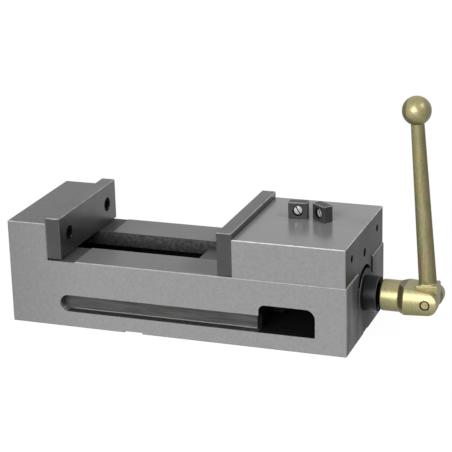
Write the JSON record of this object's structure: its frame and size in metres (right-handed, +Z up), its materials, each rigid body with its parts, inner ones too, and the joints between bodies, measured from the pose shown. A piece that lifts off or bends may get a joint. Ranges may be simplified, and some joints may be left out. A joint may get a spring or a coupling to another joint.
{
  "type": "precision vise",
  "caption": "Lock-down milling vise: cast body with rails and fixed jaw, sliding jaw driven by a screw, thrust bearing, and a folding crank handle.",
  "frame": {"origin": "middle of the body's bottom face", "axes": "+X towards the handle along the screw, +Y across the rails to the far side, +Z up"},
  "size_m": [0.4854, 0.16, 0.2756],
  "materials": {
    "cast_body": "fine matte ground casting",
    "ground_jaw": "ground, half gloss",
    "plate_steel": "hardened and ground",
    "black_steel": "blackened and oiled",
    "key_steel": "blackened, matte",
    "screw_steel": "turned steel",
    "bright_steel": "bright",
    "bronze": "turned bronze",
    "yellow_zinc": "yellow passivated zinc over a smooth casting"
  },
  "bodies": {
    "base": {"vise_body": "cast_body", "fixed_jaw_plate": "plate_steel", "fixed_plate_screws": "black_steel", "screw_bush": "bronze", "thrust_race_outer": "bright_steel"},
    "jaw": {"movable_jaw": "ground_jaw", "movable_jaw_plate": "plate_steel", "movable_plate_screws": "black_steel", "jaw_nut": "screw_steel", "half_ball": "bright_steel", "jaw_set_screw": "black_steel", "locating_key_a": "key_steel", "locating_key_b": "key_steel", "key_screws": "bright_steel"},
    "screw": {"lead_screw": "screw_steel", "thrust_race_inner": "bright_steel", "thrust_balls": "bright_steel", "ball_cage": "bronze", "screw_collar": "black_steel", "collar_set_screw": "black_steel"},
    "handle": {"handle_hub": "yellow_zinc", "pivot_pin": "yellow_zinc"},
    "lever": {"handle_lever": "yellow_zinc", "lever_ball": "yellow_zinc"}
  },
  "joints": [
    {"name": "screw_turn", "type": "hinge", "parent": "base", "child": "screw", "pos_m": [0.2, 0, 0.0465], "axis": [1, 0, 0], "range_deg": [0, 13500]},
    {"name": "jaw_slide", "type": "slide", "parent": "base", "child": "jaw", "axis": [-1, 0, 0], "range_m": [0, 0.1876]},
    {"name": "handle_pull", "type": "slide", "parent": "screw", "child": "handle", "axis": [1, 0, 0], "range_m": [0, 0.03]},
    {"name": "lever_fold", "type": "hinge", "parent": "handle", "child": "lever", "pos_m": [0.2718, 0, 0.0465], "axis": [0, 1, 0], "range_deg": [0, 188.8]}
  ],
  "couplings": [
    {"joint": "jaw_slide", "follows": "screw_turn", "m_per_rad": 0.00079577}
  ]
}
